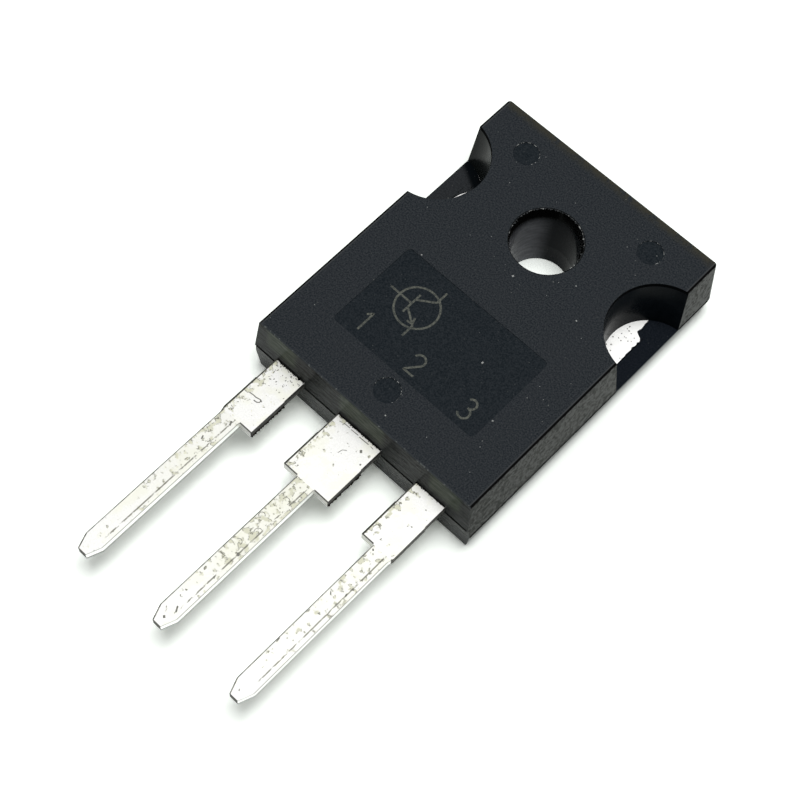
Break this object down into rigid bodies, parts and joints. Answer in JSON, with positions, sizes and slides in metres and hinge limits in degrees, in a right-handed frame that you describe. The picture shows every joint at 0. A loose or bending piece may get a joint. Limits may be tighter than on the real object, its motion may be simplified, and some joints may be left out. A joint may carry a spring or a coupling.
{
  "type": "power transistor",
  "caption": "Flat moulded power transistor with a row of through-hole leads, a bare metal back for a heatsink and a screw hole.",
  "frame": {"origin": "axis of the screw hole, in the plane of the bare metal back", "axes": "+Z from the metal back to the marked face, +Y from the leads to the hole end, +X across the leads from base to emitter"},
  "size_m": [0.0156, 0.0347, 0.005],
  "materials": {
    "moulding_compound": "black filled epoxy, fine matte grain on top, smoother walls",
    "tinned_copper": "satin tin plate over copper",
    "silicon": "polished grey silicon",
    "solder": "dull soft solder",
    "bond_wire": "drawn aluminium"
  },
  "bodies": {
    "root": {"moulded_body": "moulding_compound", "collector_header": "tinned_copper", "base_lead": "tinned_copper", "emitter_lead": "tinned_copper", "silicon_die": "silicon", "die_attach_solder": "solder", "base_bond_wire": "bond_wire", "emitter_bond_wire_1": "bond_wire", "emitter_bond_wire_2": "bond_wire"}
  },
  "joints": []
}
